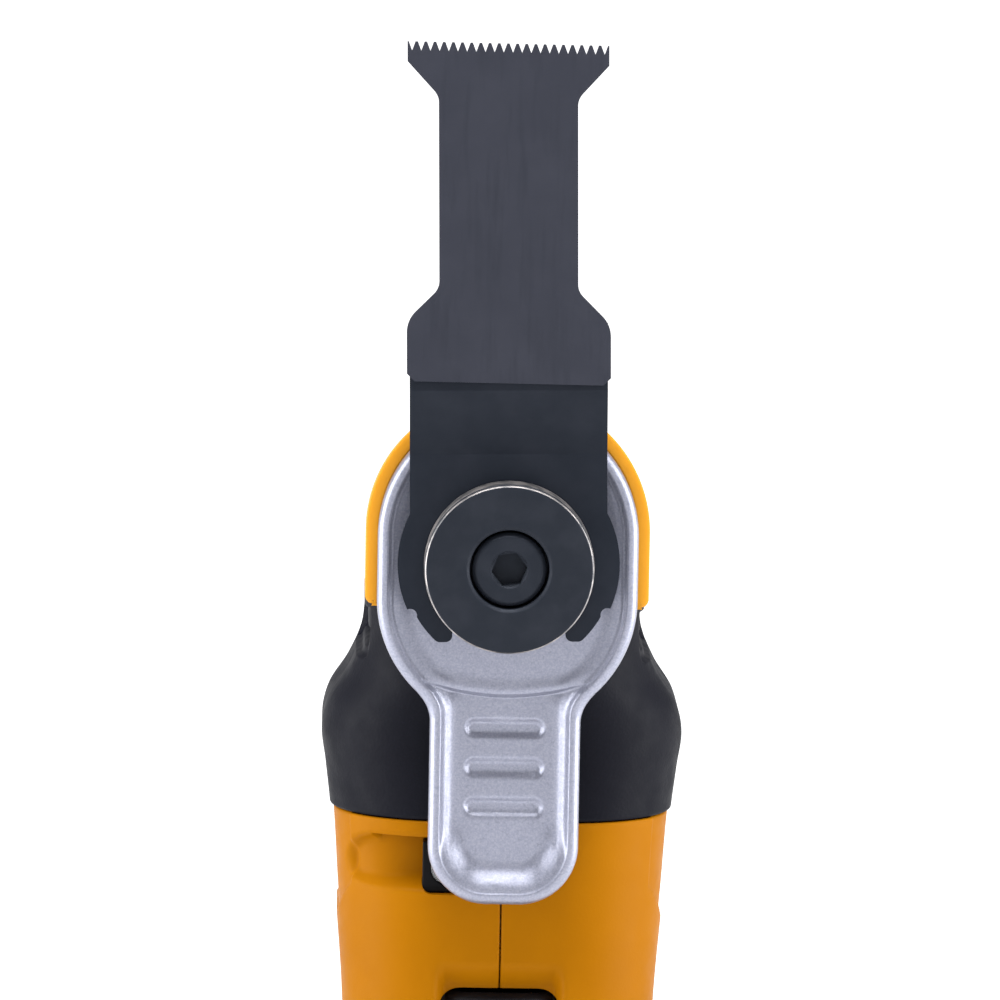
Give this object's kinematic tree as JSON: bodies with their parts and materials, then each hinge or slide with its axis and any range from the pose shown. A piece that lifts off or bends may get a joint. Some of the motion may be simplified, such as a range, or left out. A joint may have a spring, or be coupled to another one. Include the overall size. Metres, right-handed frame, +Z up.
{
  "type": "oscillating multi tool",
  "caption": "Cordless oscillating multi tool with a lever-released blade clamp, a plunge saw blade, a paddle trigger and a slide-off battery pack.",
  "frame": {"origin": "centre of the battery's base under the barrel axis, on the surface the tool stands on", "axes": "+Z up the barrel towards the blade, -Y is the clamp lever and trigger side, +X is to the right when the lever side is faced"},
  "size_m": [0.075, 0.1126, 0.3608],
  "materials": {
    "yellow_plastic": "fine satin texture",
    "black_rubber": "soft matte overmould",
    "black_plastic": "matte",
    "painted_lever": "silver hammertone paint",
    "cast_alloy": "cast",
    "bright_steel": "machined",
    "black_steel": "black oxide",
    "blade_steel": "dark satin coating",
    "copper": "copper",
    "circuit_board": "satin",
    "clear_lens": "clear",
    "led": "glossy",
    "cell_wrap": "shrink sleeve"
  },
  "bodies": {
    "body": {"housing_left": "yellow_plastic", "housing_right": "yellow_plastic", "neck_grip_left": "black_rubber", "neck_grip_right": "black_rubber", "rear_grip": "black_rubber", "nose_cover": "yellow_plastic", "gear_case": "cast_alloy", "gear_case_cover": "cast_alloy", "motor_mount": "cast_alloy", "motor_end_cap": "black_plastic", "motor_front_bearing": "bright_steel", "motor_rear_bearing": "bright_steel", "spindle_front_bearing": "bright_steel", "spindle_rear_bearing": "bright_steel", "stator_core": "bright_steel", "stator_windings": "copper", "housing_screws": "bright_steel", "cover_screws": "bright_steel", "lever_return_spring": "bright_steel", "trigger_pin": "bright_steel", "trigger_spring": "bright_steel", "switch_module": "black_plastic", "control_board": "circuit_board", "work_light_bezel": "black_plastic", "work_light_lens": "clear_lens", "work_light_led": "led", "terminal_block": "black_plastic"},
    "spindle": {"spindle": "bright_steel", "drive_fork": "cast_alloy", "clamp_spring": "bright_steel"},
    "clamp": {"clamp_rod": "bright_steel", "collar_cross_pin": "bright_steel", "release_collar": "bright_steel", "clamp_rod_nut": "bright_steel", "clamp_washer": "black_steel", "clamp_screw": "black_steel", "blade_mounting_plate": "black_steel", "blade_cutting_plate": "blade_steel"},
    "lever": {"clamp_lever": "painted_lever", "lever_pivot_pin": "bright_steel"},
    "rotor": {"motor_shaft": "bright_steel", "rotor": "bright_steel", "cooling_fan": "black_plastic", "eccentric_counterweight": "bright_steel", "eccentric_bearing": "bright_steel"},
    "trigger": {"trigger": "black_plastic"},
    "lock_button": {"lock_button": "black_plastic"},
    "battery": {"battery_base_shell": "black_plastic", "battery_top_shell": "black_plastic", "battery_cells": "cell_wrap", "cell_holders": "black_plastic", "battery_board": "circuit_board", "battery_contacts": "copper", "latch_spring": "bright_steel"},
    "latch": {"battery_latch": "black_plastic"},
    "gauge_button": {"gauge_button": "black_plastic"}
  },
  "joints": [
    {"name": "spindle_swing", "type": "hinge", "parent": "body", "child": "spindle", "pos_m": [0, 0, 0.277], "axis": [0, 1, 0], "range_deg": [-1.6, 1.6]},
    {"name": "clamp_slide", "type": "slide", "parent": "spindle", "child": "clamp", "axis": [0, -1, 0], "range_m": [0, 0.00285], "deforming": ["clamp_spring"]},
    {"name": "lever_squeeze", "type": "hinge", "parent": "body", "child": "lever", "pos_m": [0, -0.0245, 0.252], "axis": [1, 0, 0], "range_deg": [0, 7], "stiffness_Nm_per_rad": 2.67, "springref_deg": -3.28},
    {"name": "rotor_spin", "type": "hinge", "parent": "body", "child": "rotor", "pos_m": [0, 0.0055, 0.2], "axis": [0, 0, 1], "continuous": true},
    {"name": "trigger_pull", "type": "hinge", "parent": "body", "child": "trigger", "pos_m": [0, -0.021, 0.197], "axis": [1, 0, 0], "range_deg": [0, 4], "stiffness_Nm_per_rad": 0.6, "springref_deg": -11.46, "deforming": ["trigger_spring"]},
    {"name": "lock_button_press", "type": "slide", "parent": "body", "child": "lock_button", "axis": [1, 0, 0], "range_m": [0, 0.0022], "stiffness_N_per_m": 500, "springref_m": -0.002},
    {"name": "battery_slide", "type": "slide", "parent": "body", "child": "battery", "axis": [0, -1, 0], "range_m": [0, 0.08]},
    {"name": "latch_press", "type": "slide", "parent": "battery", "child": "latch", "axis": [0, 0, -1], "range_m": [0, 0.0028], "stiffness_N_per_m": 900, "springref_m": -0.002, "deforming": ["latch_spring"]},
    {"name": "gauge_button_press", "type": "slide", "parent": "battery", "child": "gauge_button", "axis": [0, 1, 0], "range_m": [0, 0.0005], "stiffness_N_per_m": 1500, "springref_m": -0.001}
  ],
  "couplings": [
    {"joint": "clamp_slide", "follows": "lever_squeeze", "m_per_rad": 0.0233}
  ]
}
